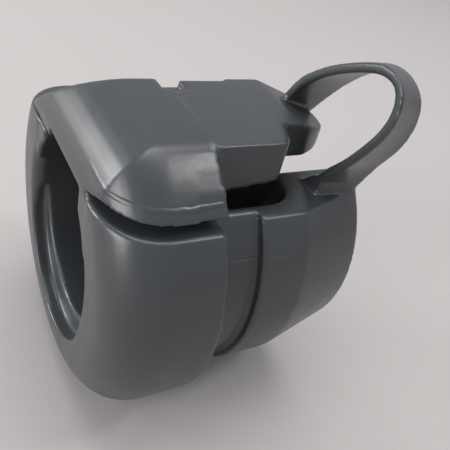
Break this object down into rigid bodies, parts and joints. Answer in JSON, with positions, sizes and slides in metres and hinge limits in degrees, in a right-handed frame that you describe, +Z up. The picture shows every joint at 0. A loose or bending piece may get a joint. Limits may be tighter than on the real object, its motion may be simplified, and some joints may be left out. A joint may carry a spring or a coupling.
{
  "type": "strain relief bushing",
  "caption": "One-piece cable strain relief bushing: slotted round body for a panel hole, with a hooded latch held on a looped strap.",
  "frame": {"origin": "cable axis in the plane of the head's rear face, which seats on the panel", "axes": "+X along the cable from head to tail, +Z up through the latch, +Y completes the frame"},
  "size_m": [0.0247, 0.0318, 0.0371],
  "materials": {
    "nylon": "semi-gloss dark grey nylon moulding"
  },
  "bodies": {
    "root": {"bushing": "nylon"}
  },
  "joints": []
}
